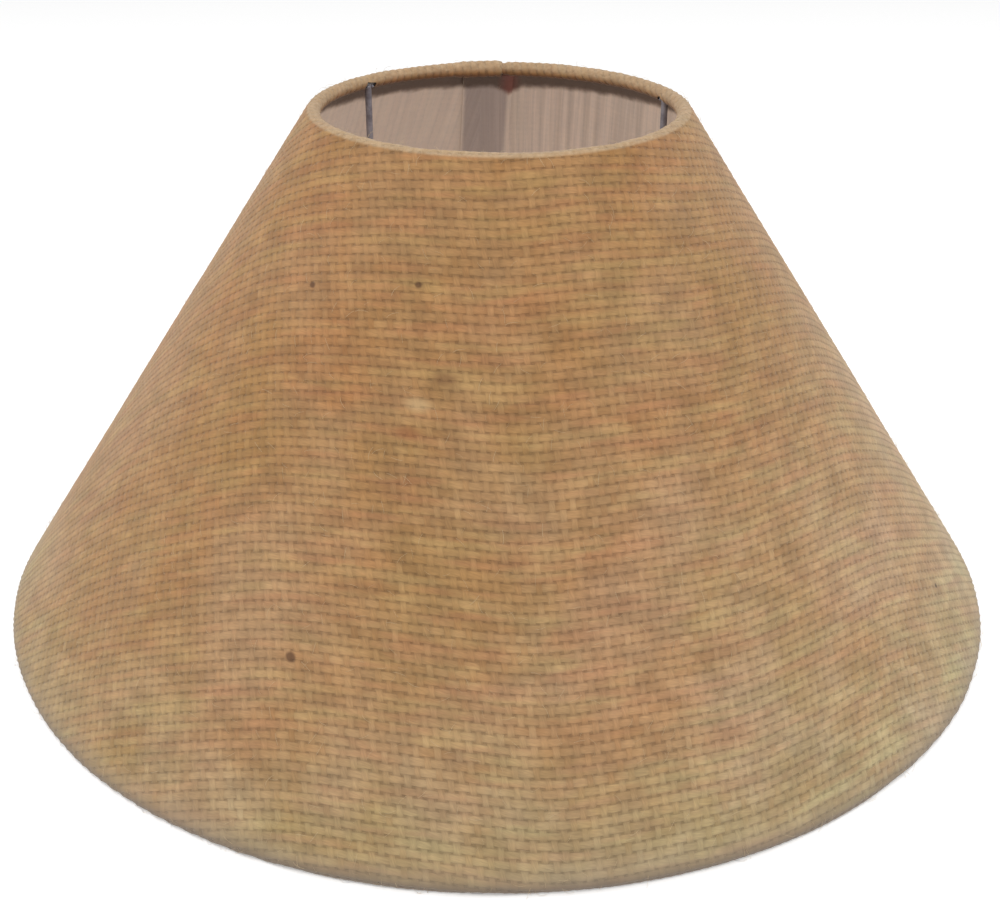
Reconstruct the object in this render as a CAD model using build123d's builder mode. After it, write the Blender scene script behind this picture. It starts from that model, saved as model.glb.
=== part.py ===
from build123d import *
from math import cos, radians, sin
import os

# Hard-lined coolie lamp shade in hessian, with a fixed three-arm fitter.
# +Z is up, the origin is the centre of the circle that the shade stands on,
# the lapped seam is at +Y and the middle of the front is at -Y.
# Lengths are in millimetres and angles in degrees.

# The shade over its rolled edges
bottom_diameter = 305.0
top_diameter = 109.0
shade_height = 151.0

# The cloth and what it is stuck to
cloth = 0.75
backing = 0.35
tape = 0.15
lap_width = 12.0        # cloth over cloth at the back seam
cloth_step = 2.5        # width in which the under end of the cloth steps inward
backing_step = 1.2      # the same for the backing, just beside it
panel_gap = 0.5         # from a roll to the ends of the layers under the lap

# The wire frame
ring_wire = 2.0
arm_wire = 2.0
arm_bend = 7.0          # radius at the wire's centre line
fitter_drop = 27.0      # from the top of the shade to the top of the washer
arm_seat = 4.0          # length of each arm that lies on the washer
weld_flat = 0.3         # depth of the flat pressed on an arm where it is welded down
notch_clearance = 0.4   # round and over each arm, where the roll is snipped for it
arm_angles = {"fitter_arm_left": 134.5, "fitter_arm_front": 254.5, "fitter_arm_right": 14.5}

# The washer that sits on the lampholder
washer_diameter = 46.0
washer_bore = 29.0
washer_thickness = 1.6
washer_edge = 0.3       # rounding of its pressed edges

# A roll holds, from outside to inside: cloth, backing, tucked cloth, wire and cloth.
roll_radius = (3 * cloth + backing + ring_wire) / 2
top_roll = Vector(top_diameter / 2 - roll_radius, shade_height - roll_radius)
bottom_roll = Vector(bottom_diameter / 2 - roll_radius, roll_radius)

# The section lies in the XZ plane. slope_down runs down the cone and slope_out is
# square to it. Depths are measured inward from the outer face of the cloth.
slope_down = (bottom_roll - top_roll).normalized()
slope_out = Vector(-slope_down.Y, slope_down.X)
backing_depth = cloth
tape_depth = backing_depth + backing
under_cloth_depth = tape_depth + tape
under_backing_depth = under_cloth_depth + cloth
wire_depth = 2 * cloth + backing + ring_wire / 2

# The layers under the lap stop short of the rolls.
under_inset = roll_radius + panel_gap

washer_top = shade_height - fitter_drop
arm_run_height = washer_top - weld_flat + arm_wire / 2
arm_end_radius = washer_diameter / 2 - arm_seat


def on_section(roll, depth, along=0.0):
    """A point of the section, at a depth and a distance down the slope from a roll's centre."""
    return roll + slope_out * (roll_radius - depth) + slope_down * along


def layer_outline(depth, thickness, inset=0.0):
    """The corners of a layer that lies along the slope, cut short by inset at both ends."""
    return [
        on_section(top_roll, depth, inset),
        on_section(bottom_roll, depth, -inset),
        on_section(bottom_roll, depth + thickness, -inset),
        on_section(top_roll, depth + thickness, inset),
    ]


def seam_strip(depth, thickness, left, right, inset=0.0):
    """A strip of a layer at the back seam, cut parallel between two places across it."""
    with BuildPart() as strip:
        with BuildSketch(Plane.XZ):
            with BuildLine():
                Polyline(*layer_outline(depth, thickness, inset), close=True)
            make_face()
        revolve(axis=Axis.Z)
        with BuildSketch():
            with Locations((left, 0)):
                Rectangle(right - left, bottom_diameter, align=(Align.MIN, Align.MIN))
        extrude(amount=shade_height, mode=Mode.INTERSECT)
    return strip.part


def radial_plane(angle):
    """The upright plane through the Z axis, with its x direction outward at an angle."""
    across, away = cos(radians(angle)), sin(radians(angle))
    return Plane(origin=(0, 0, 0), x_dir=(across, away, 0), z_dir=(away, -across, 0))


os.makedirs("parts", exist_ok=True)

# Top ring: round wire, butt-welded, inside the top roll
top_wire = on_section(top_roll, wire_depth)
with BuildPart() as top_ring:
    with BuildSketch(Plane.XZ):
        with Locations(top_wire):
            Circle(ring_wire / 2)
    revolve(axis=Axis.Z)
top_ring.part.label = "top_ring"
export_step(top_ring.part, "parts/top_ring.step")

# Bottom ring: round wire, butt-welded, inside the bottom roll
bottom_wire = on_section(bottom_roll, wire_depth)
with BuildPart() as bottom_ring:
    with BuildSketch(Plane.XZ):
        with Locations(bottom_wire):
            Circle(ring_wire / 2)
    revolve(axis=Axis.Z)
bottom_ring.part.label = "bottom_ring"
export_step(bottom_ring.part, "parts/bottom_ring.step")

# Lampholder washer: a pressed steel disc with the hole for the lampholder's thread
with BuildPart() as lampholder_washer:
    with BuildSketch(Plane.XY.offset(washer_top - washer_thickness)):
        Circle(washer_diameter / 2)
        Circle(washer_bore / 2, mode=Mode.SUBTRACT)
    extrude(amount=washer_thickness)
    rims = lampholder_washer.edges().filter_by(GeomType.CIRCLE).sort_by(SortBy.RADIUS)
    fillet(rims[-2:], radius=washer_edge)
lampholder_washer.part.label = "lampholder_washer"
export_step(lampholder_washer.part, "parts/lampholder_washer.step")

# Fitter arms: each hangs straight down from the top ring, bends, and runs in to the washer.
# The top end is coped to the ring, and the inner end is pressed flat on the washer.
for name, angle in arm_angles.items():
    with BuildPart() as fitter_arm:
        with BuildLine(radial_plane(angle)):
            arm_path = FilletPolyline(
                (top_wire.X, top_wire.Y),
                (top_wire.X, arm_run_height),
                (arm_end_radius, arm_run_height),
                radius=arm_bend,
            )
        with BuildSketch(Plane(origin=arm_path @ 0, z_dir=arm_path % 0)):
            Circle(arm_wire / 2)
        sweep(path=arm_path)
        add(top_ring.part, mode=Mode.SUBTRACT)
        add(lampholder_washer.part, mode=Mode.SUBTRACT)
    fitter_arm.part.label = name
    export_step(fitter_arm.part, f"parts/{name}.step")

# Hessian cover: one cloth that goes round once and laps at the back, where its under end
# steps inward. Both edges are rolled over the wire rings and tucked behind them.
step_left = lap_width / 2
step_right = step_left + cloth_step
under_cloth = seam_strip(under_cloth_depth, cloth, -lap_width / 2, step_right)
cloth_web = seam_strip(backing_depth, under_cloth_depth + cloth - backing_depth, step_left, step_right)
with BuildPart() as burlap_cover:
    with BuildSketch(Plane.XZ):
        with Locations(top_roll, bottom_roll):
            Circle(roll_radius)
        with BuildLine():
            Polyline(*layer_outline(0, cloth), close=True)
        make_face()
        with BuildLine():
            Polyline(*layer_outline(backing_depth, backing), close=True)
        make_face(mode=Mode.SUBTRACT)
    revolve(axis=Axis.Z)
    add(under_cloth)
    add(cloth_web)
    add(top_ring.part, mode=Mode.SUBTRACT)
    add(bottom_ring.part, mode=Mode.SUBTRACT)
    for angle in arm_angles.values():
        with BuildSketch(Plane.XY.offset(top_wire.Y + notch_clearance)):
            with Locations((top_wire.X * cos(radians(angle)), top_wire.X * sin(radians(angle)))):
                Circle(arm_wire / 2 + notch_clearance)
        extrude(amount=-fitter_drop, mode=Mode.SUBTRACT)
burlap_cover.part.label = "burlap_cover"
export_step(burlap_cover.part, "parts/burlap_cover.step")

# Lining panel: translucent plastic stuck all over the inside of the cloth. Its under end
# steps inward just beside the cloth's.
lining_left = step_right
lining_right = step_right + backing_step
under_backing = seam_strip(under_backing_depth, backing, -lap_width / 2, lining_right, under_inset)
backing_web = seam_strip(
    backing_depth, under_backing_depth + backing - backing_depth, lining_left, lining_right, under_inset
)
with BuildPart() as lining_panel:
    with BuildSketch(Plane.XZ):
        with BuildLine():
            Polyline(*layer_outline(backing_depth, backing), close=True)
        make_face()
    revolve(axis=Axis.Z)
    add(cloth_web, mode=Mode.SUBTRACT)
    add(under_backing)
    add(backing_web)
lining_panel.part.label = "lining_panel"
export_step(lining_panel.part, "parts/lining_panel.step")

# Seam tape: double-sided tape between the two ends of the panel, under the lap
tape_strip = seam_strip(tape_depth, tape, -lap_width / 2, lap_width / 2, under_inset)
with BuildPart() as seam_tape:
    add(tape_strip)
seam_tape.part.label = "seam_tape"
export_step(seam_tape.part, "parts/seam_tape.step")
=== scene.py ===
from math import atan2, cos, pi, radians, sin

import bpy
from mathutils import Euler, Matrix, Vector


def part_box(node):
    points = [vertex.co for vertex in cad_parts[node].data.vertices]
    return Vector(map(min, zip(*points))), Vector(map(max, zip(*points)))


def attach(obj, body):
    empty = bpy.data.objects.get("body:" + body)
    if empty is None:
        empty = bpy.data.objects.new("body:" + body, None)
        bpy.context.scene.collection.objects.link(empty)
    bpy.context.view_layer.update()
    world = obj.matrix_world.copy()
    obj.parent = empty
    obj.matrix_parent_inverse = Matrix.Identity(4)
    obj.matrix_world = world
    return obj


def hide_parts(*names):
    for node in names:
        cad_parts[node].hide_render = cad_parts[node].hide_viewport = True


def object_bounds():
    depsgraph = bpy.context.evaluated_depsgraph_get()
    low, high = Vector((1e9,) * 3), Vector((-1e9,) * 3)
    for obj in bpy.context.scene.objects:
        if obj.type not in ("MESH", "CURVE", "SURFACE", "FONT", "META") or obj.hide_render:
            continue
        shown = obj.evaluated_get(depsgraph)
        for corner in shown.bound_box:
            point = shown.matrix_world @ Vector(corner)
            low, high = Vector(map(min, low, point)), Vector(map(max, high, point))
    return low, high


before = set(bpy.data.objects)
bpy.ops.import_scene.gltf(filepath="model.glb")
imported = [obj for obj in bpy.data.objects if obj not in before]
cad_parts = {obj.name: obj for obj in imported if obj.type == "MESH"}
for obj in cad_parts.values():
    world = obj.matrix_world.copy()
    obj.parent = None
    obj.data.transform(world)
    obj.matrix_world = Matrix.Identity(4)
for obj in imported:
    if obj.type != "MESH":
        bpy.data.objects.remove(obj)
cad_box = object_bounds()

# Hessian coolie shade on a three-arm wire fitter. Metres; the shade stands on z = 0, its
# lapped seam is at +Y and the middle of its front is at -Y.


# ---------------------------------------------------------------------------------------
# Studio: a pale floor, a wide soft light over the camera, a weaker one at each side, and
# white surroundings. The camera looks down on the shade from a little above its rim.
scene = bpy.context.scene
scene.view_settings.view_transform = "Standard"

eye = Vector((-0.0392, -0.4073, 0.2500))
camera_data = bpy.data.cameras.new("camera")
camera_data.lens = 52.3
camera_data.sensor_width = 36.0
camera = bpy.data.objects.new("camera", camera_data)
camera.matrix_world = (
    Matrix.Translation(eye)
    @ Euler((radians(62.47), 0, radians(-5.6))).to_matrix().to_4x4()
    @ Matrix.Rotation(radians(0.25), 4, "Z")
)
scene.collection.objects.link(camera)
scene.camera = camera


def soft_light(name, place, size, power):
    """A square soft box that faces the middle of the shade."""
    lamp = bpy.data.lights.new(name, "AREA")
    lamp.size = size
    lamp.energy = power
    stand = bpy.data.objects.new(name, lamp)
    stand.location = place
    aim = Vector((0, 0, cad_box[1].z / 2)) - Vector(place)
    stand.rotation_euler = aim.to_track_quat("-Z", "Y").to_euler()
    scene.collection.objects.link(stand)


soft_light("key_light", (-0.15, -0.75, 1.35), 0.7, 9.6)
soft_light("left_light", (-1.1, 0.1, 0.7), 0.7, 3.5)
soft_light("right_light", (1.1, 0.0, 0.7), 0.7, 3.5)

surroundings = bpy.data.worlds.new("surroundings")
surroundings.use_nodes = True
surroundings.node_tree.nodes["Background"].inputs["Color"].default_value = (1.0, 1.0, 1.0, 1.0)
surroundings.node_tree.nodes["Background"].inputs["Strength"].default_value = 0.58
scene.world = surroundings

floor_half = 4.0
floor_mesh = bpy.data.meshes.new("studio_floor")
floor_mesh.from_pydata(
    [(-floor_half, -floor_half, 0), (floor_half, -floor_half, 0), (floor_half, floor_half, 0),
     (-floor_half, floor_half, 0)], [], [(0, 1, 2, 3)])
floor = bpy.data.objects.new("studio_floor", floor_mesh)
scene.collection.objects.link(floor)
floor_paint = bpy.data.materials.new("floor_paint")
floor_paint.use_nodes = True
floor_shader = floor_paint.node_tree.nodes["Principled BSDF"]
floor_shader.inputs["Base Color"].default_value = (0.92, 0.92, 0.92, 1.0)
floor_shader.inputs["Roughness"].default_value = 0.9
floor_shader.inputs["Specular IOR Level"].default_value = 0.1
floor_shader.inputs["Emission Color"].default_value = (1.0, 1.0, 1.0, 1.0)
floor_shader.inputs["Emission Strength"].default_value = 0.26
floor_mesh.materials.append(floor_paint)


# ---------------------------------------------------------------------------------------
# Wire rings: 2 mm mild steel wire, drawn, cut, bent to a hoop and butt-welded, one inside
# each rolled edge. They show only where the roll is snipped for the fitter's arms.
def feed(tree, socket, value):
    """Link a socket to another node's output, or give it its own value."""
    if isinstance(value, bpy.types.NodeSocket):
        tree.links.new(value, socket)
    else:
        socket.default_value = value


def node(tree, kind, inputs=(), **settings):
    """A node of a kind with its settings, fed in order or by the names of its sockets."""
    made = tree.nodes.new(kind)
    for name, value in settings.items():
        setattr(made, name, value)
    for key, value in inputs.items() if isinstance(inputs, dict) else enumerate(inputs):
        feed(tree, made.inputs[key], value)
    return made


def calc(tree, operation, *values):
    return node(tree, "ShaderNodeMath", values, operation=operation).outputs[0]


def vector_calc(tree, operation, *values):
    return node(tree, "ShaderNodeVectorMath", values, operation=operation).outputs[0]


def ease(tree, value, low, high):
    """0 below low, 1 above high and smooth between them."""
    return node(
        tree, "ShaderNodeMapRange", (value, low, high, 0.0, 1.0), interpolation_type="SMOOTHSTEP"
    ).outputs[0]


def combine(tree, x, y, z=0.0):
    return node(tree, "ShaderNodeCombineXYZ", (x, y, z)).outputs[0]


def noise(tree, place, scale, detail=2.0, roughness=0.5):
    return node(tree, "ShaderNodeTexNoise",
                {"Vector": place, "Scale": scale, "Detail": detail, "Roughness": roughness})


def blend_colours(tree, amount, first, second, mode="MIX"):
    mix = node(tree, "ShaderNodeMix", data_type="RGBA", blend_type=mode)
    feed(tree, mix.inputs[0], amount)
    feed(tree, mix.inputs[6], first)
    feed(tree, mix.inputs[7], second)
    return mix.outputs[2]


def new_material(name):
    made = bpy.data.materials.new(name)
    made.use_nodes = True
    return made, made.node_tree, made.node_tree.nodes["Principled BSDF"]


def steel_finish(name, bright, dull, roughness):
    """Drawn steel wire: dull patches of oxide, fine scratches and a worn sheen."""
    made, tree, shader = new_material(name)
    place = node(tree, "ShaderNodeTexCoord").outputs["Object"]
    patches = noise(tree, place, 160.0, 4.0, 0.6).outputs[0]
    scratches = noise(tree, place, 2200.0, 2.0, 0.7).outputs[0]
    dulled = ease(tree, patches, 0.40, 0.68)
    feed(tree, shader.inputs["Base Color"], blend_colours(tree, dulled, bright, dull))
    rough = calc(tree, "MULTIPLY_ADD", dulled, 0.25, roughness)
    feed(tree, shader.inputs["Roughness"], calc(tree, "MULTIPLY_ADD", scratches, 0.12, rough))
    bump = node(tree, "ShaderNodeBump", {"Strength": 0.35, "Distance": 0.00004, "Height": scratches})
    feed(tree, shader.inputs["Normal"], bump.outputs[0])
    shader.inputs["Metallic"].default_value = 0.7
    return made


def dress(name, material):
    """Gives a CAD node its finish."""
    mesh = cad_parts[name].data
    mesh.materials.clear()
    mesh.materials.append(material)


ring_steel = steel_finish("hidden_wire", (0.30, 0.31, 0.33, 1), (0.13, 0.12, 0.12, 1), 0.35)
dress("top_ring", ring_steel)
dress("bottom_ring", ring_steel)


# ---------------------------------------------------------------------------------------
# Fitter: three arms of the same wire, bent to an L, welded under the top ring at one end
# and to the washer at the other. The washer is pressed from 1.6 mm sheet.
fitter_steel = steel_finish("drawn_wire", (0.36, 0.35, 0.39, 1), (0.20, 0.18, 0.20, 1), 0.45)
arm_names = ("fitter_arm_left", "fitter_arm_front", "fitter_arm_right")
for name in arm_names + ("lampholder_washer",):
    dress(name, fitter_steel)


# ---------------------------------------------------------------------------------------
# Hessian cover: plain-woven jute, ten yarns to the inch each way, cut flat as a ring sector,
# wrapped once round the cone and lapped at the back, where its outer end is turned under. Its
# raw edges roll round the two wires and tuck in behind them.
hem_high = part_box("burlap_cover")[1]
top_wire_low, top_wire_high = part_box("top_ring")
bottom_wire_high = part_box("bottom_ring")[1]
wire_radius = (top_wire_high.z - top_wire_low.z) / 2
top_wire = Vector((top_wire_high.x - wire_radius, top_wire_high.z - wire_radius))
bottom_wire = Vector((bottom_wire_high.x - wire_radius, bottom_wire_high.z - wire_radius))

slope_down = (bottom_wire - top_wire).normalized()
slope_out = Vector((-slope_down.y, slope_down.x))
wire_to_roll = (hem_high.x - bottom_wire.x - bottom_wire.y) / (slope_out.x + slope_out.y)
top_roll = top_wire + slope_out * wire_to_roll
bottom_roll = bottom_wire + slope_out * wire_to_roll
roll_radius = bottom_roll.y
sine = slope_down.x                       # of the cone's half angle
lean = atan2(slope_out.y, slope_out.x)    # of the face, from level

# Every place on the cloth is known by its yarns: warp number across, weft number up. They run
# level across the front and turn away round the sides.
warp_spacing = 0.002562
weft_spacing = 0.002438
weave_skew = 0.040          # how far the warps lean off square
seam_turn = radians(0.7)    # of the pattern's middle from the front


def new_group(name, kind, inputs, outputs):
    """A node group with named sockets: each input is a name, a kind and a usual value."""
    tree = bpy.data.node_groups.new(name, kind)
    for label, socket, value in inputs:
        made = tree.interface.new_socket(name=label, in_out="INPUT", socket_type="NodeSocket" + socket)
        if value is not None:
            made.default_value = value
    for label, socket in outputs:
        tree.interface.new_socket(name=label, in_out="OUTPUT", socket_type="NodeSocket" + socket)
    return tree, tree.nodes.new("NodeGroupInput").outputs, tree.nodes.new("NodeGroupOutput").inputs


def pulled(tree, across):
    """How far a weft has been pulled along the warps, at a distance across the flat cloth."""
    # The cloth was pulled by hand as it was stuck down: each weft changes direction at a few places.
    bends = ((-0.137, -0.080), (-0.079, -0.203), (-0.012, 0.283), (0.041, 0.200), (0.094, -0.190))
    softness = 0.009
    total = calc(tree, "MULTIPLY", across, 0.10)
    for middle, change in bends:
        beside = calc(tree, "SUBTRACT", across, middle)
        bent = calc(tree, "SQRT", calc(tree, "MULTIPLY_ADD", beside, beside, softness ** 2))
        total = calc(tree, "MULTIPLY_ADD", calc(tree, "ADD", beside, bent), change / 2, total)
    return total


# The weave: each yarn bows over and under its neighbours, wanders, thickens into slubs and
# is a bundle of coarse fibres with a little twist.
weave, given, result = new_group(
    "plain_weave", "ShaderNodeTree",
    [("Yarns", "Vector", (0, 0, 0)), ("Warp Width", "Float", 0.44), ("Weft Width", "Float", 0.50),
     ("Slub", "Float", 0.34), ("Wander", "Float", 0.24), ("Warp Crimp", "Float", 0.58),
     ("Weft Crimp", "Float", 0.34), ("Warp Sink", "Float", 0.38)],
    [("Height", "Float"), ("Gap", "Float"), ("Hollow", "Float"), ("Yarn Tint", "Float"),
     ("Fibre", "Float")])
across_up = node(weave, "ShaderNodeSeparateXYZ", (given["Yarns"],)).outputs
warp_place, weft_place = across_up[0], across_up[1]


def yarn_set(tree, across, along, width, crimp, seed, sign):
    """Height, edge mask and tint of one set of parallel yarns, and the place across a yarn."""
    number = calc(tree, "ROUND", across)
    far_apart = calc(tree, "MULTIPLY_ADD", number, 7.31, seed)
    character = noise(tree, combine(tree, far_apart, calc(tree, "MULTIPLY", along, 0.16)), 1.0, 3.0, 0.6)
    parts = node(tree, "ShaderNodeSeparateColor", (character.outputs[1],)).outputs
    drift = calc(tree, "MULTIPLY", calc(tree, "SUBTRACT", parts[0], 0.5), given["Wander"])
    offset = calc(tree, "SUBTRACT", calc(tree, "SUBTRACT", across, number), drift)
    swell = calc(tree, "MULTIPLY_ADD", calc(tree, "SUBTRACT", parts[1], 0.5),
                 calc(tree, "MULTIPLY", given["Slub"], 2.0), 1.0)
    half = calc(tree, "MULTIPLY", width, swell)
    ratio = calc(tree, "DIVIDE", offset, half)
    bulge = calc(tree, "MAXIMUM", calc(tree, "SUBTRACT", 1.0, calc(tree, "MULTIPLY", ratio, ratio)), 0.0)
    edge = ease(tree, bulge, 0.0, 0.60)
    bow = calc(tree, "MULTIPLY", calc(tree, "COSINE", calc(
        tree, "MULTIPLY", calc(tree, "ADD", along, number), pi)), sign)
    height = calc(tree, "MULTIPLY_ADD", bow, crimp, calc(tree, "SQRT", bulge))
    height = calc(tree, "ADD", calc(tree, "MULTIPLY", calc(tree, "ADD", height, 0.8), edge), -0.8)
    return height, edge, parts[2], offset


def fibre_place_in(tree, across, along, offset):
    """Where a yarn's coarse fibres lie: long threads with a little twist."""
    twist = 1.4
    twisted = calc(tree, "MULTIPLY_ADD", along, twist, calc(tree, "MULTIPLY", offset, 7.0))
    return combine(tree, twisted, calc(tree, "MULTIPLY", along, 0.9), across)


warp_height, warp_edge, warp_tint, warp_offset = yarn_set(
    weave, warp_place, weft_place, given["Warp Width"], given["Warp Crimp"], 3.7, 1.0)
warp_height = calc(weave, "SUBTRACT", warp_height, given["Warp Sink"])
weft_height, weft_edge, weft_tint, weft_offset = yarn_set(
    weave, weft_place, warp_place, given["Weft Width"], given["Weft Crimp"], 911.2, -1.0)
lead = calc(weave, "SUBTRACT", warp_height, weft_height)
on_top = ease(weave, lead, -0.12, 0.12)
fibre_place = node(weave, "ShaderNodeMix", data_type="VECTOR")
feed(weave, fibre_place.inputs[0], on_top)
feed(weave, fibre_place.inputs[4], fibre_place_in(weave, weft_place, warp_place, weft_offset))
feed(weave, fibre_place.inputs[5], fibre_place_in(weave, warp_place, weft_place, warp_offset))
tint_mix = node(weave, "ShaderNodeMix", (on_top,), data_type="FLOAT")
feed(weave, tint_mix.inputs[2], weft_tint)
feed(weave, tint_mix.inputs[3], warp_tint)
top_height = calc(weave, "MAXIMUM", warp_height, weft_height)
feed(weave, result["Height"], top_height)
feed(weave, result["Hollow"], calc(weave, "SUBTRACT", 1.0, ease(weave, top_height, 0.15, 1.25)))
feed(weave, result["Gap"], calc(weave, "SUBTRACT", 1.0, calc(weave, "MAXIMUM", warp_edge, weft_edge)))
feed(weave, result["Yarn Tint"], tint_mix.outputs[0])
feed(weave, result["Fibre"], noise(weave, fibre_place.outputs[1], 1.0, 2.0, 0.6).outputs[0])

# Cloudy colour: jute differs from lot to lot, so patches of the cloth lean to red, olive or
# mauve, and bits of bark are spun in as dark specks.
clouds, given, result = new_group(
    "jute_clouds", "ShaderNodeTree",
    [("Place", "Vector", (0, 0, 0)), ("Cloud Size", "Float", 28.0), ("Speck Share", "Float", 0.5)],
    [("Red", "Float"), ("Olive", "Float"), ("Pale", "Float"), ("Speck", "Float")])
wide = noise(clouds, given["Place"], given["Cloud Size"], 3.0, 0.55)
wide_parts = node(clouds, "ShaderNodeSeparateColor", (wide.outputs[1],)).outputs
for index, label in enumerate(("Red", "Olive", "Pale")):
    feed(clouds, result[label], ease(clouds, wide_parts[index], 0.42, 0.66))
bark = node(clouds, "ShaderNodeTexVoronoi", {"Vector": given["Place"], "Scale": 75.0, "Randomness": 1.0})
bark_draw = node(clouds, "ShaderNodeSeparateColor", (bark.outputs["Color"],)).outputs[0]
rare = calc(clouds, "LESS_THAN", bark_draw, calc(clouds, "MULTIPLY", given["Speck Share"], 0.16))
near = calc(clouds, "SUBTRACT", 1.0, ease(clouds, bark.outputs["Distance"], 0.03, 0.075))
feed(clouds, result["Speck"], calc(clouds, "MULTIPLY", rare, near))


def brightened(tree, colour, factor):
    """A colour, lighter or darker by a factor."""
    return blend_colours(tree, 1.0, colour, combine(tree, factor, factor, factor), "MULTIPLY")


def jute_colour(tree, yarns, place, strength=1.0):
    """The colour of the undyed cloth, with painted shade in the weave's hollows and gaps, and the sockets of
    its weave.
    """
    woven = node(tree, "ShaderNodeGroup", node_tree=weave)
    feed(tree, woven.inputs["Yarns"], yarns)
    cloudy = node(tree, "ShaderNodeGroup", node_tree=clouds)
    feed(tree, cloudy.inputs["Place"], place)
    tint = ease(tree, woven.outputs["Yarn Tint"], 0.25, 0.75)
    colour = blend_colours(tree, tint, (0.345, 0.183, 0.074, 1), (0.430, 0.256, 0.118, 1))
    for label, share, tone in (("Red", 0.34, (0.400, 0.165, 0.066, 1)),
                               ("Olive", 0.32, (0.315, 0.206, 0.070, 1)),
                               ("Pale", 0.36, (0.450, 0.290, 0.172, 1))):
        amount = calc(tree, "MULTIPLY", cloudy.outputs[label], share * strength)
        colour = blend_colours(tree, amount, colour, tone)
    # One bale differs from the next along a yarn, so short stretches of a weft turn pink or straw.
    lengthways = vector_calc(tree, "MULTIPLY", yarns, (0.10, 0.55, 1.0))
    stretch = node(tree, "ShaderNodeSeparateColor", (noise(tree, lengthways, 1.0, 2.0).outputs[1],)).outputs
    for draw, low, high, share, tone in ((stretch[0], 0.48, 0.70, 0.36, (0.430, 0.196, 0.098, 1)),
                                         (stretch[1], 0.50, 0.72, 0.45, (0.440, 0.300, 0.130, 1))):
        amount = calc(tree, "MULTIPLY", ease(tree, draw, low, high), share * strength)
        colour = blend_colours(tree, amount, colour, tone)
    # Thick and thin places come and go over a few yarns.
    patches = noise(tree, vector_calc(tree, "MULTIPLY", yarns, (0.30, 0.42, 1.0)), 1.0, 3.0, 0.6)
    mottle = node(tree, "ShaderNodeSeparateColor", (patches.outputs[1],)).outputs[2]
    streak = calc(tree, "MULTIPLY", calc(tree, "MULTIPLY_ADD", woven.outputs["Fibre"], 0.6, 0.70),
                  calc(tree, "MULTIPLY_ADD", ease(tree, mottle, 0.30, 0.70), 0.28, 0.84))
    colour = brightened(tree, colour, streak)
    # Painted shade: the hollows between crossings are darkened, and the gaps between yarns darker still.
    colour = brightened(tree, colour, calc(tree, "MULTIPLY_ADD", woven.outputs["Hollow"], -0.26, 1.05))
    colour = blend_colours(tree, calc(tree, "MULTIPLY", woven.outputs["Gap"], 0.20), colour,
                           (0.180, 0.088, 0.032, 1))
    colour = blend_colours(tree, calc(tree, "MULTIPLY", cloudy.outputs["Speck"], 0.80), colour,
                           (0.050, 0.025, 0.012, 1))
    return colour, woven.outputs


def patch_on_weave(tree, yarns, middle, stretch, inner, outer):
    """1 round a place on the weave and 0 past the outer reach, both counted in yarns."""
    away = vector_calc(tree, "MULTIPLY", vector_calc(tree, "SUBTRACT", yarns, middle), stretch)
    reach = node(tree, "ShaderNodeVectorMath", (away,), operation="LENGTH").outputs["Value"]
    return calc(tree, "SUBTRACT", 1.0, ease(tree, reach, inner, outer))


hessian, tree, shader = new_material("hessian_jute")
yarns = node(tree, "ShaderNodeAttribute", attribute_name="yarn_place").outputs["Vector"]
place = node(tree, "ShaderNodeTexCoord").outputs["Object"]
colour, woven = jute_colour(tree, yarns, place)
# Paler and more mauve low down on the right, darker and warmer high up on the left, and cooler still near
# the bottom.
across, _, level = node(tree, "ShaderNodeSeparateXYZ", (place,)).outputs
pale_gradient = calc(tree, "MULTIPLY_ADD", level, -5.4, calc(tree, "MULTIPLY_ADD", across, 2.8, 0.84))
low_down = calc(tree, "SUBTRACT", 1.0, ease(tree, level, 0.006, 0.040))
paleness = ease(tree, calc(tree, "MULTIPLY_ADD", noise(tree, place, 16.0).outputs[0], 0.5, pale_gradient), 0.20, 1.40)
colour = blend_colours(tree, 1.0, colour, blend_colours(
    tree, paleness, (0.84, 0.76, 0.64, 1), (1.00, 1.11, 1.26, 1)), "MULTIPLY")
colour = blend_colours(tree, low_down, colour, blend_colours(
    tree, 1.0, colour, (0.98, 1.13, 1.20, 1), "MULTIPLY"))
# Three bits of bark are spun in at crossings, and there are a pale slub and two dark ones.
for warp, weft, size in ((-24.5, -43.8, 0.46), (-12.8, -43.7, 0.46), (-28.7, -83.2, 0.72)):
    bit = patch_on_weave(tree, yarns, (warp, weft, 0.0), (1.0, 1.0, 1.0), size * 0.45, size)
    colour = blend_colours(tree, calc(tree, "MULTIPLY", bit, 0.75), colour, (0.070, 0.028, 0.014, 1))
for warp, weft, tone in ((-13.9, -56.2, (0.520, 0.370, 0.190, 1)),
                         (-15.2, -59.2, (0.240, 0.085, 0.034, 1)),
                         (-11.0, -53.4, (0.150, 0.060, 0.026, 1))):
    slub = patch_on_weave(tree, yarns, (warp, weft, 0.0), (0.55, 1.0, 1.0), 0.2, 1.1)
    colour = blend_colours(tree, calc(tree, "MULTIPLY", slub, 0.50), colour, tone)
# The rolls: pale and fuzzy where they stand out, worn with a painted highlight that is strongest on
# the top roll; darker on their inner turns, a glue stain with painted shade; greyer in a band above
# the bottom; and painted shade along the bottom roll's underside where it meets the floor.
rolled = node(tree, "ShaderNodeAttribute", attribute_name="roll_turn").outputs["Fac"]
is_top = calc(tree, "GREATER_THAN", level, 0.1)
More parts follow.
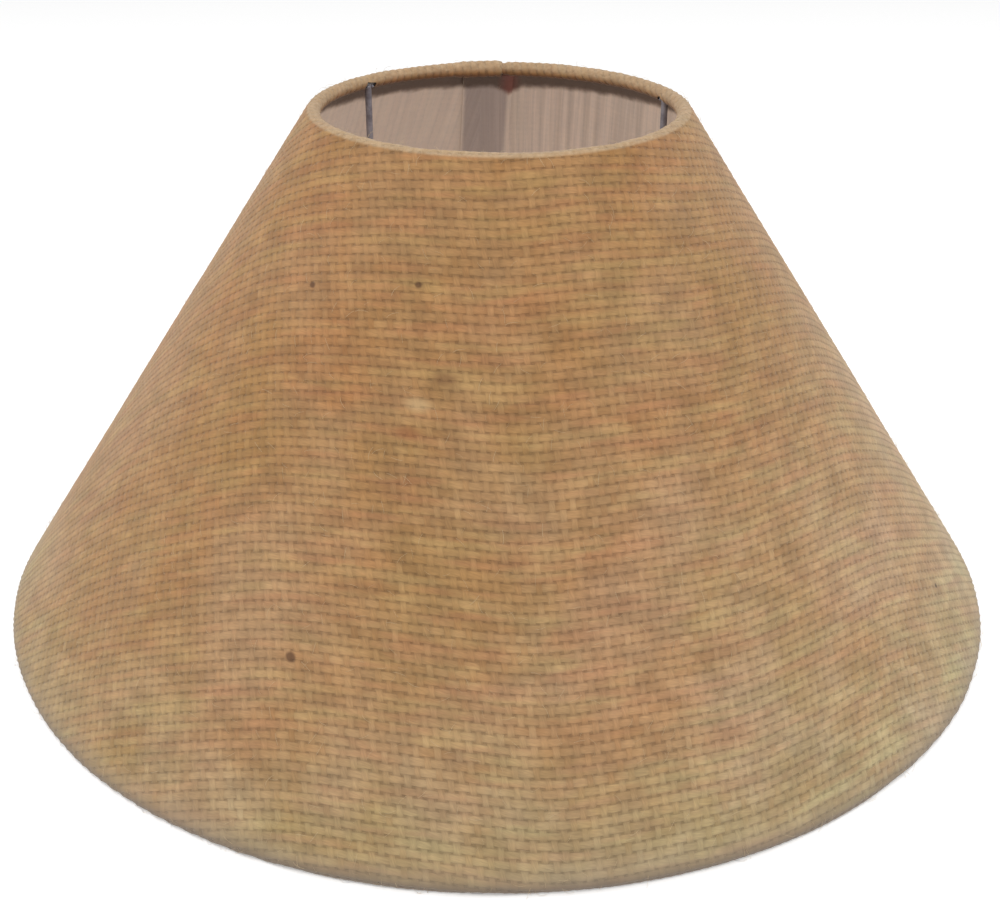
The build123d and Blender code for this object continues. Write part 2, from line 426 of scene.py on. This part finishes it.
# Worn fuzz with a painted highlight: the outer turns of the rolls are paler, most on the top roll.
wear_and_highlight = calc(tree, "MULTIPLY", ease(tree, rolled, -0.02, 0.06),
              calc(tree, "SUBTRACT", 1.0, ease(tree, rolled, 0.40, 0.58)))
fuzz_tone = noise(tree, place, 700.0, 3.0, 0.7).outputs[0]
pale = blend_colours(tree, fuzz_tone, (0.330, 0.232, 0.140, 1), (0.680, 0.520, 0.340, 1))
wear_and_highlight = calc(tree, "MULTIPLY", wear_and_highlight, calc(tree, "MULTIPLY_ADD", is_top, 0.42, 0.15))
wear_and_highlight = calc(tree, "MULTIPLY", wear_and_highlight, calc(tree, "MULTIPLY_ADD", fuzz_tone, 0.9, 0.6))
colour = blend_colours(tree, wear_and_highlight, colour, pale)
# Painted shade with a glue stain: the inner turns of the rolls are darker.
glue_and_shade = calc(tree, "MULTIPLY", ease(tree, rolled, 0.50, 0.66), 0.85)
colour = blend_colours(tree, glue_and_shade, colour, (0.110, 0.045, 0.020, 1))
# Greyer in a band above the bottom edge.
grey_band_edge = calc(tree, "MULTIPLY_ADD", noise(tree, place, 90.0).outputs[0], 0.004, level)
greyed = calc(tree, "MULTIPLY", calc(tree, "SUBTRACT", 1.0, ease(tree, grey_band_edge, 0.005, 0.011)), 0.40)
colour = blend_colours(tree, greyed, colour, (0.300, 0.245, 0.175, 1))
# Painted shade on the underside of the bottom roll, where it meets the floor.
underside_shade = calc(tree, "MULTIPLY", calc(tree, "SUBTRACT", 1.0, ease(tree, level, 0.0012, 0.0050)), 0.78)
colour = blend_colours(tree, underside_shade, colour, (0.110, 0.085, 0.074, 1))
feed(tree, shader.inputs["Base Color"], colour)
feed(tree, shader.inputs["Roughness"], calc(tree, "MULTIPLY_ADD", woven["Fibre"], 0.15, 0.78))
relief = calc(tree, "MULTIPLY_ADD", woven["Fibre"], 0.30, woven["Height"])
relief = calc(tree, "MULTIPLY_ADD", calc(tree, "MULTIPLY", fuzz_tone, wear_and_highlight), 1.6, relief)
bump = node(tree, "ShaderNodeBump", {"Strength": 0.8, "Distance": 0.00015, "Height": relief})
feed(tree, shader.inputs["Normal"], bump.outputs[0])
shader.inputs["Specular IOR Level"].default_value = 0.25
shader.inputs["Sheen Weight"].default_value = 0.25
shader.inputs["Sheen Roughness"].default_value = 0.5
shader.inputs["Sheen Tint"].default_value = (1.0, 0.90, 0.76, 1.0)

# The section of the cloth: the turns of the top roll, the slope and the turns of the bottom roll.
cone_top = (top_roll + slope_out * roll_radius).x / sine         # along the flat cloth, from its apex
cone_bottom = (bottom_roll + slope_out * roll_radius).x / sine
roll_wrap = radians(306.0)      # how far each edge turns round its roll
roll_run = roll_radius * roll_wrap
roll_points = 40


def round_roll(centre, angles):
    """Points of the section on a roll's outer face."""
    return [centre + roll_radius * Vector((cos(angle), sin(angle))) for angle in angles]


meridian_line = (
    round_roll(top_roll, [lean + roll_wrap * (1 - i / roll_points) for i in range(roll_points + 1)])
    + round_roll(bottom_roll, [lean - roll_wrap * i / roll_points for i in range(roll_points + 1)]))
meridian_curve = bpy.data.curves.new("meridian", "CURVE")
meridian_curve.dimensions = "3D"
spline = meridian_curve.splines.new("POLY")
spline.points.add(len(meridian_line) - 1)
for point, (r, z) in zip(spline.points, meridian_line):
    point.co = (r, 0, z, 1)
meridian = bpy.data.objects.new("meridian", meridian_curve)
scene.collection.objects.link(meridian)

wrapped, given, result = new_group(
    "wrapped_cloth", "GeometryNodeTree",
    [("Meridian", "Object", None), ("Warps", "Int", 228), ("Wefts", "Int", 156),
     ("Weft Middle", "Float", -42.0), ("Steps", "Int", 2), ("Warp Spacing", "Float", warp_spacing),
     ("Weft Spacing", "Float", weft_spacing), ("Skew", "Float", weave_skew),
     ("Half Angle Sine", "Float", sine), ("Turn", "Float", seam_turn),
     ("Start", "Float", 0.085), ("Cone Start", "Float", 0.0973), ("Cone End", "Float", 0.2734),
     ("End", "Float", 0.2857), ("Relief", "Float", 0.0003), ("Waviness", "Float", 0.0004),
     ("Lap", "Float", 0.012), ("Fold Radius", "Float", 0.0005), ("Lap Depth", "Float", 0.00125),
     ("Roll Lift", "Float", 0.0006), ("First Snip", "Float", 0.0), ("Snip Half Width", "Float", 0.0013),
     ("Snip Length", "Float", 0.006), ("Cloth", "Material", None)],
    [("Geometry", "Geometry")])


def w(operation, *values):
    return calc(wrapped, operation, *values)


count_x = w("MULTIPLY_ADD", given["Warps"], given["Steps"], 1.0)
count_y = w("MULTIPLY_ADD", given["Wefts"], given["Steps"], 1.0)
grid = node(wrapped, "GeometryNodeMeshGrid", (given["Warps"], given["Wefts"], count_x, count_y)).outputs[0]
corner = node(wrapped, "GeometryNodeInputPosition").outputs[0]
counted = vector_calc(wrapped, "ADD", corner, combine(wrapped, 0.0, given["Weft Middle"]))
store = node(wrapped, "GeometryNodeStoreNamedAttribute", data_type="FLOAT_VECTOR", domain="POINT")
feed(wrapped, store.inputs["Geometry"], grid)
feed(wrapped, store.inputs["Name"], "yarn_place")
feed(wrapped, store.inputs["Value"], counted)

stored = node(wrapped, "GeometryNodeInputNamedAttribute", data_type="FLOAT_VECTOR")
feed(wrapped, stored.inputs["Name"], "yarn_place")
warp_number, weft_number, _ = node(wrapped, "ShaderNodeSeparateXYZ", (stored.outputs[0],)).outputs
wide_place = combine(wrapped, w("MULTIPLY", warp_number, 0.06), w("MULTIPLY", weft_number, 0.06))
wave = noise(wrapped, wide_place, 1.0, 2.0).outputs[1]
wave_x, wave_y, wave_z = node(wrapped, "ShaderNodeSeparateXYZ", (wave,)).outputs
flat_y = w("MULTIPLY_ADD", weft_number, given["Weft Spacing"],
           w("MULTIPLY", w("SUBTRACT", wave_y, 0.5), w("MULTIPLY", given["Waviness"], 2.0)))
square_x = w("MULTIPLY", warp_number, given["Warp Spacing"])
flat_y = w("ADD", flat_y, pulled(wrapped, square_x))
flat_x = w("SUBTRACT", square_x, w("MULTIPLY", flat_y, given["Skew"]))
flat_x = w("MULTIPLY_ADD", w("SUBTRACT", wave_x, 0.5), w("MULTIPLY", given["Waviness"], 2.0), flat_x)
out_along = w("SQRT", w("MULTIPLY_ADD", flat_x, flat_x, w("MULTIPLY", flat_y, flat_y)))
around = w("ADD", w("DIVIDE", w("ARCTAN2", flat_x, w("MULTIPLY", flat_y, -1.0)), given["Half Angle Sine"]),
           given["Turn"])

line = node(wrapped, "GeometryNodeObjectInfo", (given["Meridian"],)).outputs["Geometry"]
sample = node(wrapped, "GeometryNodeSampleCurve", mode="LENGTH", use_all_curves=True)
feed(wrapped, sample.inputs["Curves"], line)
feed(wrapped, sample.inputs["Length"], w("SUBTRACT", out_along, given["Start"]))
on_line = sample.outputs["Position"]
tangent_x, _, tangent_z = node(wrapped, "ShaderNodeSeparateXYZ", (sample.outputs["Tangent"],)).outputs
outward = combine(wrapped, w("MULTIPLY", tangent_z, -1.0), 0.0, tangent_x)
ring_radius = node(wrapped, "ShaderNodeSeparateXYZ", (on_line,)).outputs[0]

# On a roll the mask is 1, on the cone it is 0.
roll_blend = 0.001
below_top = ease(wrapped, out_along, w("SUBTRACT", given["Cone Start"], roll_blend), given["Cone Start"])
on_bottom = ease(wrapped, out_along, given["Cone End"], w("ADD", given["Cone End"], roll_blend))
on_roll = w("ADD", w("SUBTRACT", 1.0, below_top), on_bottom)

# The lap: past is how far the cloth has gone beyond the seam line. The outer end, from the
# left, turns under along a small fold, and the inner end, from the right, steps inward.
is_left = w("LESS_THAN", around, 0.0)
is_right = w("SUBTRACT", 1.0, is_left)
past = w("MULTIPLY", ring_radius, w("SUBTRACT", w("ABSOLUTE", around), pi))
half_lap = w("MULTIPLY", given["Lap"], 0.5)
fold_start = w("SUBTRACT", half_lap, given["Fold Radius"])
beyond = w("MAXIMUM", w("SUBTRACT", past, fold_start), 0.0)
turned = w("MINIMUM", w("DIVIDE", beyond, given["Fold Radius"]), pi)
hem_width = 0.001
after_fold = w("MAXIMUM", w("SUBTRACT", beyond, w("MULTIPLY", given["Fold Radius"], pi)), 0.0)
folded = w("MULTIPLY_ADD", w("SINE", turned), given["Fold Radius"], w("MINIMUM", past, fold_start))
folded = w("SUBTRACT", folded, w("MINIMUM", after_fold, hem_width))
fold_depth = w("MULTIPLY", given["Fold Radius"], w("SUBTRACT", 1.0, w("COSINE", turned)))
step_end = w("MULTIPLY", half_lap, -1.0)
step_width = 0.0025
stepped = ease(wrapped, past, w("SUBTRACT", step_end, step_width), step_end)
shallower = w("MULTIPLY", given["Lap Depth"], -0.64)
step_depth = w("MULTIPLY", stepped, w("MULTIPLY_ADD", on_roll, shallower, given["Lap Depth"]))
lap_place = w("ADD", w("MULTIPLY", is_left, folded), w("MULTIPLY", is_right, w("MINIMUM", past, half_lap)))
lifted = w("MULTIPLY", w("MULTIPLY", stepped, on_roll), w("MULTIPLY", given["Roll Lift"], is_left))
lap_depth = w("ADD", w("MULTIPLY", is_left, fold_depth), w("MULTIPLY", is_right, step_depth))
lap_depth = w("SUBTRACT", lap_depth, lifted)
lap_margin = 0.004
near_lap = w("GREATER_THAN", past, w("SUBTRACT", step_end, lap_margin))
lap_around = w("ADD", pi, w("DIVIDE", lap_place, ring_radius))
side = w("SUBTRACT", w("MULTIPLY", is_right, 2.0), 1.0)
wrapped_around = node(wrapped, "GeometryNodeSwitch", (near_lap, around, w("MULTIPLY", lap_around, side)),
                      input_type="FLOAT").outputs[0]

# Snips: the roll is slit from its raw edge for each arm, and the slit's edges part. The points
# nearest to an arm's line are taken out as far as the slit stays open.
snip_taper = 0.0012
slit_open = 0.0006
quarter_yarn = 0.00066
third = 2 * pi / 3
from_first = w("ADD", w("SUBTRACT", wrapped_around, given["First Snip"]), third / 2)
to_arm = w("MULTIPLY", w("SUBTRACT", w("FLOORED_MODULO", from_first, third), third / 2), ring_radius)
snip_end = w("ADD", given["Start"], given["Snip Length"])
snip_width = w("MULTIPLY", given["Snip Half Width"],
               w("SUBTRACT", 1.0, ease(wrapped, out_along, w("SUBTRACT", snip_end, snip_taper), snip_end)))
arm_distance = w("ABSOLUTE", to_arm)
in_snip = w("MULTIPLY", w("LESS_THAN", arm_distance, quarter_yarn),
            w("GREATER_THAN", snip_width, slit_open))
parted = w("MULTIPLY", w("SIGN", to_arm), w("MAXIMUM", arm_distance, snip_width))
parted_around = w("ADD", wrapped_around, w("DIVIDE", w("SUBTRACT", parted, to_arm), ring_radius))

# Relief: a crossing stands up, the hole between four crossings lies low, and the cloth is
# nowhere quite flat on its panel.
puff_height = 0.0008
beads = w("ADD", w("MULTIPLY", w("COSINE", w("MULTIPLY", warp_number, 2 * pi)), 0.16),
          w("MULTIPLY", w("COSINE", w("MULTIPLY", weft_number, 2 * pi)), 0.34))
near_place = combine(wrapped, w("MULTIPLY", warp_number, 0.9), w("MULTIPLY", weft_number, 0.9))
uneven = noise(wrapped, near_place, 1.0, 2.0).outputs[0]
woven_height = w("MULTIPLY", w("SUBTRACT", w("MULTIPLY_ADD", uneven, 0.7, beads), 0.85), given["Relief"])
puff = w("MULTIPLY", w("MULTIPLY", w("SUBTRACT", wave_z, 0.5), puff_height),
         w("MULTIPLY_ADD", on_roll, 0.5, 0.5))
stand = w("ADD", w("SUBTRACT", woven_height, lap_depth), puff)
at_front = vector_calc(wrapped, "ADD", on_line, node(
    wrapped, "ShaderNodeVectorMath", {0: outward, "Scale": stand}, operation="SCALE").outputs[0])
turned_place = node(wrapped, "ShaderNodeVectorRotate",
                    {"Vector": at_front, "Angle": w("SUBTRACT", parted_around, pi / 2)},
                    rotation_type="Z_AXIS").outputs[0]

# The grid is cut half a yarn past every edge of the cloth, so no cell of the edge is lost.
half_yarn = 0.0013
past_limit = w("ADD", w("MULTIPLY", is_left, w("MULTIPLY_ADD", given["Fold Radius"], pi + 2.0, fold_start)),
               w("MULTIPLY", is_right, w("ADD", half_lap, half_yarn)))
outside = w("MAXIMUM", w("MAXIMUM", w("LESS_THAN", out_along, w("SUBTRACT", given["Start"], half_yarn)),
                         w("GREATER_THAN", out_along, w("ADD", given["End"], half_yarn))),
            w("MAXIMUM", w("GREATER_THAN", past, past_limit), in_snip))
roll_length = w("SUBTRACT", given["Cone Start"], given["Start"])
roll_turn = w("DIVIDE", w("MAXIMUM", w("SUBTRACT", given["Cone Start"], out_along),
                          w("SUBTRACT", out_along, given["Cone End"])), roll_length)
marked = node(wrapped, "GeometryNodeStoreNamedAttribute", data_type="FLOAT", domain="POINT")
feed(wrapped, marked.inputs["Geometry"], store.outputs[0])
feed(wrapped, marked.inputs["Name"], "roll_turn")
feed(wrapped, marked.inputs["Value"], roll_turn)
cut = node(wrapped, "GeometryNodeDeleteGeometry", domain="POINT")
feed(wrapped, cut.inputs["Geometry"], marked.outputs[0])
feed(wrapped, cut.inputs["Selection"], outside)
shaped = node(wrapped, "GeometryNodeSetPosition",
              {"Geometry": cut.outputs[0], "Position": turned_place}).outputs[0]
welded = node(wrapped, "GeometryNodeMergeByDistance", {"Geometry": shaped, "Distance": 0.00008}).outputs[0]
smoothed = node(wrapped, "GeometryNodeSetShadeSmooth", {"Geometry": welded}).outputs[0]
plain = node(wrapped, "GeometryNodeRealizeInstances", {"Geometry": smoothed}).outputs[0]
feed(wrapped, result["Geometry"], node(
    wrapped, "GeometryNodeSetMaterial", {"Geometry": plain, "Material": given["Cloth"]}).outputs[0])


def grown(name, tree, values, source=None):
    """A plain mesh object from a geometry tree, with the tree's named inputs set first."""
    host = bpy.data.objects.new(name, source.copy() if source else bpy.data.meshes.new(name))
    scene.collection.objects.link(host)
    modifier = host.modifiers.new(tree.name, "NODES")
    modifier.node_group = tree
    for socket in tree.interface.items_tree:
        if socket.in_out == "INPUT" and socket.name in values:
            modifier[socket.identifier] = values[socket.name]
    graph = bpy.context.evaluated_depsgraph_get()
    mesh = bpy.data.meshes.new_from_object(
        host.evaluated_get(graph), preserve_all_data_layers=True, depsgraph=graph)
    if mesh.materials[0] is None:
        mesh.materials.pop(index=0)
    host.modifiers.clear()
    host.data = mesh
    return host


def way_round(name):
    """The angle of a fitter arm's upright, from the front towards +X."""
    low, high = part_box(name)
    across = high.x - wire_radius if high.x > -low.x else low.x + wire_radius
    away = high.y - wire_radius if high.y > -low.y else low.y + wire_radius
    return atan2(across, -away)


lap_width = 0.012
cloth_start = cone_top - roll_run
cloth_end = cone_bottom + roll_run
burlap_cover = grown("hessian_cover", wrapped, {
    "Meridian": meridian, "Warps": 228, "Wefts": 156, "Weft Middle": -42.0, "Steps": 2,
    "Warp Spacing": warp_spacing, "Weft Spacing": weft_spacing, "Skew": weave_skew,
    "Half Angle Sine": sine, "Turn": seam_turn,
    "Start": cloth_start, "Cone Start": cone_top, "Cone End": cone_bottom, "End": cloth_end,
    "Relief": 0.00026, "Waviness": 0.0005, "Lap": lap_width, "Fold Radius": 0.0005, "Lap Depth": 0.00125,
    "Roll Lift": 0.0003, "First Snip": way_round("fitter_arm_front"), "Snip Half Width": 0.0013,
    "Snip Length": 0.006, "Cloth": hessian})
bpy.data.objects.remove(meridian)
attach(burlap_cover, "root")
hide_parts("burlap_cover")


# ---------------------------------------------------------------------------------------
# Backing and lap tape: a translucent white plastic sheet, glued all over the inside of the
# cloth, so the weave shows through it as faint lines. The tape is a clear double-sided one.
cone_yarns, given, result = new_group(
    "yarns_on_the_cone", "ShaderNodeTree",
    [("Place", "Vector", (0, 0, 0)), ("Half Angle Sine", "Float", sine), ("Turn", "Float", seam_turn),
     ("Warp Spacing", "Float", warp_spacing), ("Weft Spacing", "Float", weft_spacing),
     ("Skew", "Float", weave_skew)],
    [("Yarns", "Vector")])
x, y, _ = node(cone_yarns, "ShaderNodeSeparateXYZ", (given["Place"],)).outputs
radius = calc(cone_yarns, "SQRT", calc(cone_yarns, "MULTIPLY_ADD", x, x, calc(cone_yarns, "MULTIPLY", y, y)))
around = calc(cone_yarns, "ARCTAN2", x, calc(cone_yarns, "MULTIPLY", y, -1.0))
from_middle = calc(cone_yarns, "SUBTRACT", around, given["Turn"])
flat_angle = calc(cone_yarns, "MULTIPLY", from_middle, given["Half Angle Sine"])
flat_radius = calc(cone_yarns, "DIVIDE", radius, given["Half Angle Sine"])
flat_x = calc(cone_yarns, "MULTIPLY", flat_radius, calc(cone_yarns, "SINE", flat_angle))
flat_y = calc(cone_yarns, "MULTIPLY", flat_radius, calc(
    cone_yarns, "MULTIPLY", calc(cone_yarns, "COSINE", flat_angle), -1.0))
square_x = calc(cone_yarns, "MULTIPLY_ADD", flat_y, given["Skew"], flat_x)
square_y = calc(cone_yarns, "SUBTRACT", flat_y, pulled(cone_yarns, square_x))
feed(cone_yarns, result["Yarns"], combine(
    cone_yarns, calc(cone_yarns, "DIVIDE", square_x, given["Warp Spacing"]),
    calc(cone_yarns, "DIVIDE", square_y, given["Weft Spacing"])))

backing, tree, shader = new_material("backing_plastic")
place = node(tree, "ShaderNodeTexCoord").outputs["Object"]
yarn_finder = node(tree, "ShaderNodeGroup", node_tree=cone_yarns)
feed(tree, yarn_finder.inputs["Place"], place)
colour, woven = jute_colour(tree, yarn_finder.outputs[0], place, 0.6)
milky = blend_colours(tree, 0.80, colour, (0.330, 0.272, 0.236, 1))
# Painted light: light through the cloth, more through its thin rows than its thick ones, and less
# where the lap is two layers thick, is painted into the backing's colour and given off as a glow.
rows = vector_calc(tree, "MULTIPLY", yarn_finder.outputs[0], (0.015, 0.9, 1.0))
thin = ease(tree, noise(tree, rows, 1.0, 3.0, 0.7).outputs[0], 0.25, 0.75)
across, back, level = node(tree, "ShaderNodeSeparateXYZ", (place,)).outputs
in_lap = calc(tree, "MULTIPLY", calc(tree, "GREATER_THAN", back, 0.0), calc(
    tree, "SUBTRACT", ease(tree, across, -0.0062, -0.0046), ease(tree, across, 0.0074, 0.0092)))
milky = blend_colours(tree, calc(tree, "MULTIPLY", in_lap, 0.55), milky, (0.215, 0.172, 0.165, 1))
streaky = calc(tree, "MULTIPLY_ADD", ease(tree, across, -0.015, 0.020), 0.26, 0.10)
streaks = calc(tree, "MULTIPLY_ADD", calc(tree, "SUBTRACT", thin, 0.5), streaky, 0.97)
milky = brightened(tree, milky, streaks)
# Just below the top roll the plastic is darkened: the cloth's raw edge glued down inside, with painted
# shade under the roll; at the seam the cloth's cut corner hangs lower, in a point.
ragged = calc(tree, "MULTIPLY_ADD", noise(tree, place, 260.0, 3.0, 0.6).outputs[0], 0.0022, level)
from_corner = calc(tree, "ABSOLUTE", calc(tree, "SUBTRACT", across, 0.0086))
corner_drop = calc(tree, "MULTIPLY", calc(tree, "GREATER_THAN", back, 0.0), calc(
    tree, "MAXIMUM", calc(tree, "MULTIPLY_ADD", from_corner, -0.50, 0.0026), 0.0))
edge_level = calc(tree, "ADD", ragged, corner_drop)
hem = ease(tree, edge_level, 0.1419, 0.1446)
reddened = blend_colours(tree, ease(tree, corner_drop, 0.0004, 0.0026), (0.070, 0.038, 0.022, 1),
                         (0.150, 0.030, 0.016, 1))
milky = blend_colours(tree, calc(tree, "MULTIPLY", hem, 0.92), milky, reddened)
feed(tree, shader.inputs["Base Color"], milky)
# Painted light: the backing glows, dimmed under the cloth's edge and in the lap.
through = calc(tree, "MULTIPLY", calc(tree, "SUBTRACT", 1.0, calc(tree, "MULTIPLY", hem, 0.8)),
               calc(tree, "MULTIPLY_ADD", in_lap, -0.45, 1.0))
feed(tree, shader.inputs["Emission Color"], brightened(tree, milky, through))
shader.inputs["Emission Strength"].default_value = 0.62
shader.inputs["Roughness"].default_value = 0.45
bump = node(tree, "ShaderNodeBump", {"Strength": 0.4, "Distance": 0.00006, "Height": woven["Height"]})
feed(tree, shader.inputs["Normal"], bump.outputs[0])
shader.inputs["Specular IOR Level"].default_value = 0.4
dress("lining_panel", backing)

tape, tree, shader = new_material("lap_tape")
place = node(tree, "ShaderNodeTexCoord").outputs["Object"]
clouding = noise(tree, place, 900.0, 3.0).outputs[0]
feed(tree, shader.inputs["Base Color"], blend_colours(
    tree, clouding, (0.62, 0.56, 0.44, 1), (0.74, 0.69, 0.58, 1)))
feed(tree, shader.inputs["Roughness"], calc(tree, "MULTIPLY_ADD", clouding, 0.2, 0.25))
dress("seam_tape", tape)


# ---------------------------------------------------------------------------------------
# Weld beads: small puddles of steel, one each side of every arm where it lies on the washer
# and one each side where it meets the top ring.
beads_tree, given, result = new_group(
    "weld_beads", "GeometryNodeTree",
    [("Places", "Geometry", None), ("Length", "Float", 0.0030), ("Width", "Float", 0.0011),
     ("Ripple", "Float", 0.00012), ("Steel", "Material", None)],
    [("Geometry", "Geometry")])
bead_turn = node(beads_tree, "GeometryNodeInputNamedAttribute", {"Name": "bead_turn"},
                 data_type="FLOAT_VECTOR").outputs[0]
bead = node(beads_tree, "GeometryNodeMeshIcoSphere", {"Radius": 0.5, "Subdivisions": 3}).outputs[0]
puddles = node(beads_tree, "GeometryNodeInstanceOnPoints", {
    "Points": given["Places"], "Instance": bead, "Rotation": bead_turn,
    "Scale": combine(beads_tree, given["Length"], given["Width"], given["Width"])}).outputs[0]
solid = node(beads_tree, "GeometryNodeRealizeInstances", {"Geometry": puddles}).outputs[0]
spot = node(beads_tree, "GeometryNodeInputPosition").outputs[0]
ripple = calc(beads_tree, "MULTIPLY", calc(
    beads_tree, "SUBTRACT", noise(beads_tree, spot, 1400.0).outputs[0], 0.5), given["Ripple"])
bead_normal = node(beads_tree, "GeometryNodeInputNormal").outputs[0]
rippled = node(beads_tree, "ShaderNodeVectorMath", {0: bead_normal, "Scale": ripple}, operation="SCALE")
rough = node(beads_tree, "GeometryNodeSetPosition", {"Geometry": solid, "Offset": rippled.outputs[0]})
smooth_bead = node(beads_tree, "GeometryNodeSetShadeSmooth", {"Geometry": rough.outputs[0]}).outputs[0]
feed(beads_tree, result["Geometry"], node(
    beads_tree, "GeometryNodeSetMaterial", {"Geometry": smooth_bead, "Material": given["Steel"]}).outputs[0])

arm_seat = 0.004            # length of each arm that lies on the washer
washer_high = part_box("lampholder_washer")[1]
arm_end = washer_high.x - arm_seat / 2
bead_places = []
bead_turns = []
for name in arm_names:
    turn = way_round(name)
    outward = Vector((sin(turn), -cos(turn), 0))
    beside = Vector((cos(turn), sin(turn), 0))
    for side in (-1, 1):
        bead_places.append(outward * arm_end + beside * side * wire_radius * 0.95
                           + Vector((0, 0, washer_high.z + 0.0001)))
        bead_turns.append((0.0, 0.0, turn - pi / 2))
        bead_places.append(outward * top_wire.x + beside * side * wire_radius * 0.9
                           + Vector((0, 0, top_wire.y - wire_radius * 0.9)))
        bead_turns.append((0.0, 0.0, turn - pi / 2))
starts = bpy.data.meshes.new("bead_places")
starts.from_pydata(bead_places, [], [])
starts.attributes.new("bead_turn", "FLOAT_VECTOR", "POINT").data.foreach_set(
    "vector", [value for turns in bead_turns for value in turns])
weld_beads = grown("weld_beads", beads_tree, {"Length": 0.0030, "Width": 0.0011, "Ripple": 0.00012,
                                              "Steel": fitter_steel}, starts)
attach(weld_beads, "root")


# ---------------------------------------------------------------------------------------
# Stray fibres: jute sheds. Short stiff hairs stand off the face of the cloth and, more
# thickly, off both rolls, where the yarns are bent hard.
hair_colour, tree, shader = new_material("jute_hair")
place = node(tree, "ShaderNodeTexCoord").outputs["Object"]
hair_tone = noise(tree, place, 60.0).outputs[0]
feed(tree, shader.inputs["Base Color"], blend_colours(
    tree, hair_tone, (0.400, 0.280, 0.150, 1), (0.640, 0.500, 0.320, 1)))
shader.inputs["Roughness"].default_value = 0.6

hairy, given, result = new_group(
    "stray_fibres", "GeometryNodeTree",
    [("Cloth Face", "Geometry", None), ("Per Square Metre", "Float", 26000.0), ("On Rolls", "Float", 3.0),
     ("Length", "Float", 0.0024), ("Thickness", "Float", 0.00005), ("Seed", "Int", 5),
     ("Hair", "Material", None)],
    [("Geometry", "Geometry")])
turn_of_roll = node(hairy, "GeometryNodeInputNamedAttribute", {"Name": "roll_turn"},
                    data_type="FLOAT").outputs[0]
bent = calc(hairy, "MULTIPLY", calc(hairy, "GREATER_THAN", turn_of_roll, 0.0),
            calc(hairy, "LESS_THAN", turn_of_roll, 0.30))
on_show = calc(hairy, "LESS_THAN", turn_of_roll, 0.30)
thickly = calc(hairy, "MULTIPLY", given["Per Square Metre"], calc(
    hairy, "MULTIPLY", on_show, calc(hairy, "MULTIPLY_ADD", bent, given["On Rolls"], 1.0)))
roots = node(hairy, "GeometryNodeDistributePointsOnFaces", {
    "Mesh": given["Cloth Face"], "Density": thickly, "Seed": given["Seed"]})
curl = node(hairy, "GeometryNodeCurveQuadraticBezier", {
    "Resolution": 4, "Start": (0.0, 0.0, -0.05), "Middle": (0.55, 0.0, 0.42),
    "End": (1.0, 0.25, 0.10)}).outputs[0]
round_section = node(hairy, "GeometryNodeCurvePrimitiveCircle", {"Resolution": 3, "Radius": 0.5}).outputs[0]
strand_scale = calc(hairy, "DIVIDE", given["Thickness"], given["Length"])
strand = node(hairy, "GeometryNodeCurveToMesh", {
    "Curve": curl, "Profile Curve": node(hairy, "GeometryNodeTransform", {
        "Geometry": round_section,
        "Scale": combine(hairy, strand_scale, strand_scale, strand_scale)}).outputs[0]}).outputs[0]
heading = node(hairy, "FunctionNodeRandomValue", data_type="FLOAT")
feed(hairy, heading.inputs[2], 0.0)
feed(hairy, heading.inputs[3], 2 * pi)
feed(hairy, heading.inputs["Seed"], calc(hairy, "ADD", given["Seed"], 11.0))
spun = node(hairy, "FunctionNodeRotateRotation", {
    "Rotation": roots.outputs["Rotation"],
    "Rotate By": combine(hairy, 0.0, 0.0, heading.outputs[1])}, rotation_space="LOCAL").outputs[0]
size_of = node(hairy, "FunctionNodeRandomValue", data_type="FLOAT")
feed(hairy, size_of.inputs[2], 0.5)
feed(hairy, size_of.inputs[3], 1.5)
feed(hairy, size_of.inputs["Seed"], calc(hairy, "ADD", given["Seed"], 23.0))
long = calc(hairy, "MULTIPLY", size_of.outputs[1], given["Length"])
planted = node(hairy, "GeometryNodeInstanceOnPoints", {
    "Points": roots.outputs["Points"], "Instance": strand, "Rotation": spun,
    "Scale": combine(hairy, long, long, long)}).outputs[0]
hairs = node(hairy, "GeometryNodeRealizeInstances", {"Geometry": planted}).outputs[0]
# Hairs under the bottom roll lie flat on whatever the shade stands on.
lowest = 0.0001
hair_x, hair_y, hair_z = node(hairy, "ShaderNodeSeparateXYZ", (
    node(hairy, "GeometryNodeInputPosition").outputs[0],)).outputs
hairs = node(hairy, "GeometryNodeSetPosition", {"Geometry": hairs, "Position": combine(
    hairy, hair_x, hair_y, calc(hairy, "MAXIMUM", hair_z, lowest))}).outputs[0]
feed(hairy, result["Geometry"], node(
    hairy, "GeometryNodeSetMaterial", {"Geometry": hairs, "Material": given["Hair"]}).outputs[0])

stray_fibres = grown("stray_fibres", hairy, {"Per Square Metre": 26000.0, "On Rolls": 3.0, "Length": 0.0024,
                                             "Thickness": 0.00005, "Seed": 5, "Hair": hair_colour},
                     burlap_cover.data)
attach(stray_fibres, "root")
